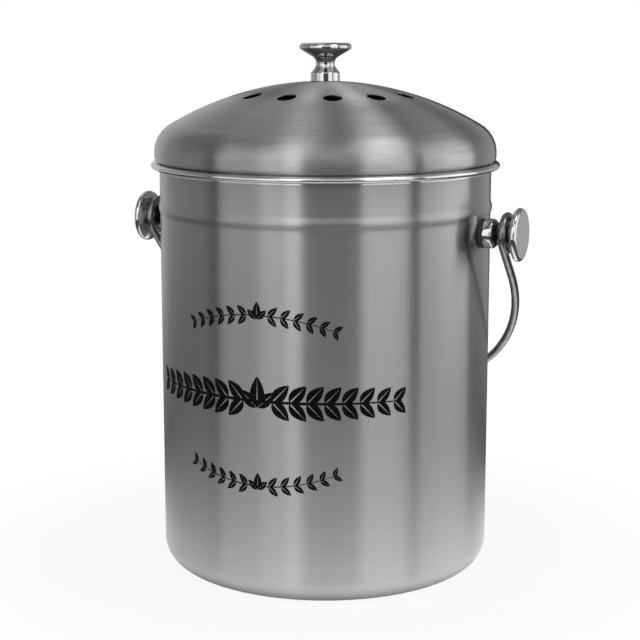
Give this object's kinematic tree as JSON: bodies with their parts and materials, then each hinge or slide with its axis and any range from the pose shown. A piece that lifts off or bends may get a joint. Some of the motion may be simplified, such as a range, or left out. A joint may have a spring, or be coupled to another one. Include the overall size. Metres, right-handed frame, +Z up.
{
  "type": "compost caddy",
  "caption": "Round steel kitchen compost caddy with a rolled rim, a lift-off vented dome lid over a charcoal filter, and a wire bail swinging on turned knobs.",
  "frame": {"origin": "centre of the base, on the plane that the standing ring rests on", "axes": "+Z up along the pail's axis, front face towards -Y, bail pivot along X"},
  "size_m": [0.2176, 0.184, 0.2779],
  "materials": {
    "brushed_sheet": "brushed round the pail and lid",
    "knob_chrome": "polished",
    "wire_steel": "drawn wire, dull polish",
    "fastener_steel": "bright zinc",
    "seal_rubber": "matte",
    "cage_plastic": "fine moulded texture",
    "charcoal_foam": "open felted foam loaded with charcoal",
    "print_ink": "black screen print on the pail's front"
  },
  "bodies": {
    "pail": {"pail_shell": "brushed_sheet", "side_knob_right": "knob_chrome", "side_knob_left": "knob_chrome", "knob_seal_right": "seal_rubber", "knob_seal_left": "seal_rubber", "knob_screw_right": "fastener_steel", "knob_screw_left": "fastener_steel", "knob_washer_right": "fastener_steel", "knob_washer_left": "fastener_steel"},
    "bail": {"bail_wire": "wire_steel"},
    "lid": {"lid_shell": "brushed_sheet", "lid_skirt": "brushed_sheet", "lid_knob": "knob_chrome", "lid_screw": "fastener_steel", "lid_washer": "fastener_steel", "filter_cage": "cage_plastic", "charcoal_filter": "charcoal_foam"}
  },
  "joints": [
    {"name": "bail_swing", "type": "hinge", "parent": "pail", "child": "bail", "pos_m": [0, 0, 0.1824], "axis": [1, 0, 0], "range_deg": [0, 277.5]},
    {"name": "lid_lift", "type": "slide", "parent": "pail", "child": "lid", "axis": [0, 0, 1], "range_m": [0, 0.12]}
  ]
}
